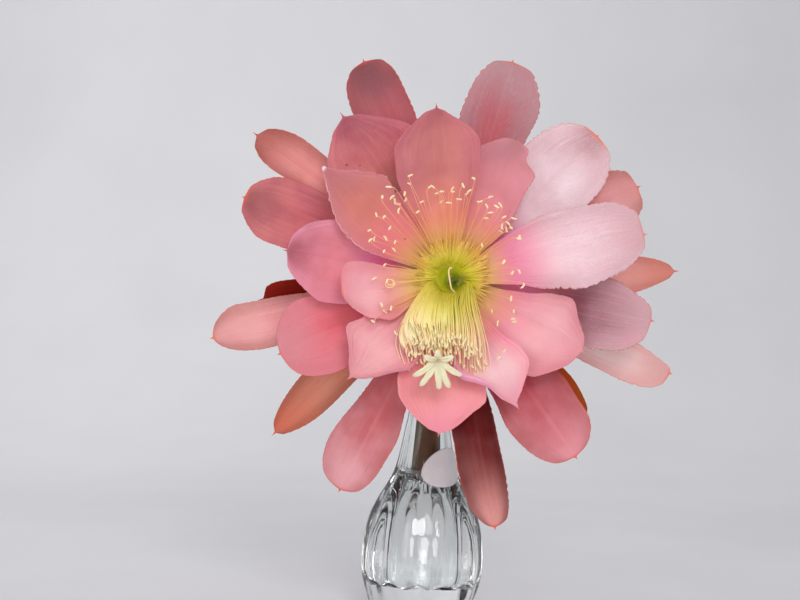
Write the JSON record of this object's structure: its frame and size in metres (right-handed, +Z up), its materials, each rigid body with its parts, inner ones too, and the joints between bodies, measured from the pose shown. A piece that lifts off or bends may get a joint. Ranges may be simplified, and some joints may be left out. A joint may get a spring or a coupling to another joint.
{
  "type": "orchid cactus bloom in glass bud vase",
  "caption": "Wide pink orchid cactus bloom facing forward, its curved floral tube standing in a small fluted clear glass bud vase with a flared lip and a blank oval label.",
  "frame": {"origin": "centre of the vase's flat foot, on the surface that it stands on", "axes": "+Z up along the vase's axis; the bloom faces -Y; +X is to the right seen from the front"},
  "size_m": [0.176, 0.1105, 0.2157],
  "materials": {
    "clear_glass": "polished",
    "water": "gloss",
    "label_paper": "matte",
    "tube_green": "satin",
    "tepal_pink": "matte",
    "tepal_deep_pink": "matte",
    "tepal_lilac": "matte",
    "sepal_salmon": "matte",
    "stamen_cream": "matte",
    "stigma_cream": "matte"
  },
  "bodies": {
    "root": {"vase": "clear_glass", "water": "water", "label": "label_paper", "floral_tube": "tube_green", "tepal_top": "tepal_pink", "tepal_upper_right": "tepal_pink", "tepal_right": "tepal_lilac", "tepal_lower_right": "tepal_pink", "tepal_bottom_right": "tepal_pink", "tepal_bottom": "tepal_pink", "tepal_lower_left": "tepal_pink", "tepal_left_front": "tepal_pink", "tepal_left": "tepal_pink", "tepal_upper_left": "tepal_pink", "tepal_top_left": "tepal_pink", "tepal_top_right": "tepal_lilac", "tepal_far_right": "tepal_lilac", "tepal_bottom_right_back": "tepal_pink", "tepal_lower_left_back": "tepal_pink", "tepal_far_left": "tepal_pink", "tepal_outer_top_left": "tepal_deep_pink", "tepal_outer_top_right": "tepal_lilac", "tepal_outer_right": "tepal_deep_pink", "tepal_outer_lower_right": "tepal_deep_pink", "tepal_outer_bottom": "tepal_deep_pink", "tepal_outer_bottom_left": "tepal_deep_pink", "tepal_outer_left": "tepal_deep_pink", "sepal_upper_left": "sepal_salmon", "sepal_right": "sepal_salmon", "sepal_lower_left": "sepal_salmon", "sepal_left": "sepal_salmon", "sepal_bottom_right": "sepal_salmon", "stamens": "stamen_cream", "style": "stigma_cream"}
  },
  "joints": []
}
